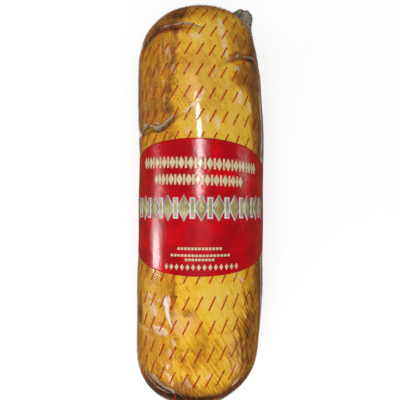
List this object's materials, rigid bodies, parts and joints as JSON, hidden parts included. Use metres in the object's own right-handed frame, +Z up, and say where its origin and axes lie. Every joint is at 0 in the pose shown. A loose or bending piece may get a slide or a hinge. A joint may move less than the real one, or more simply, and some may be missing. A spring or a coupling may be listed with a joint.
{
  "type": "provolone cheese",
  "caption": "Whole smoked provolone cheese: a log with rounded ends, sealed in a tight clear shrink bag with a printed label, lying on its side.",
  "frame": {"origin": "on the surface the cheese rests on, under the middle of its bounding box", "axes": "+Z up; +Y along the log, towards the sealed end with the crumpled film ear; +X to the right with the label on top"},
  "size_m": [0.1284, 0.3954, 0.1226],
  "materials": {
    "smoked_rind": "smoked yellow and brown cheese rind with net marks, moist under tight film",
    "clear_film": "clear glossy shrink film, greyish where it is crumpled",
    "label_red": "glossy red ink on film",
    "label_cream": "cream ink on film",
    "label_gold": "dull gold ink on film",
    "dash_red": "thin red ink on clear film"
  },
  "bodies": {
    "root": {"sealed_pack": "smoked_rind"}
  },
  "joints": []
}
